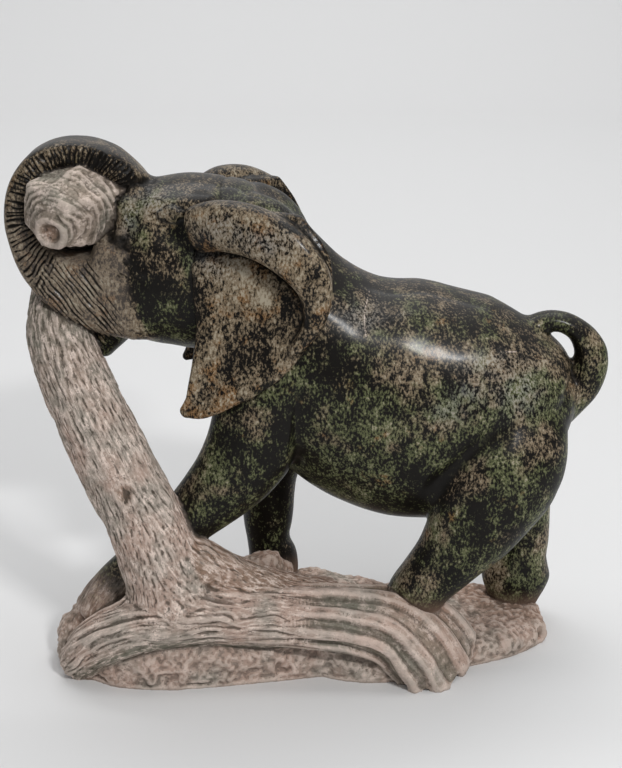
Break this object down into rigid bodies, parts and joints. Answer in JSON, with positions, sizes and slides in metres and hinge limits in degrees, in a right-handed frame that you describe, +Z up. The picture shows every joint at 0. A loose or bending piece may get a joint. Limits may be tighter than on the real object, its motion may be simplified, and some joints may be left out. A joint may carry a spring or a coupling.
{
  "type": "stone elephant sculpture",
  "caption": "Carved stone elephant leaning on a bent tree, its trunk curled round the broken top, on a rough base with an arched root; stands on its flat underside as an ornament.",
  "frame": {"origin": "centre of the carving's outer box, on the floor plane under the flat underside", "axes": "+Z up, +X along the elephant from trunk to tail, -Y towards the elephant's left side"},
  "size_m": [0.3521, 0.1444, 0.3185],
  "materials": {
    "stone": "elephant polished and waxed dark, tree and base left raw and pale"
  },
  "bodies": {
    "root": {"elephant_carving": "stone"}
  },
  "joints": []
}
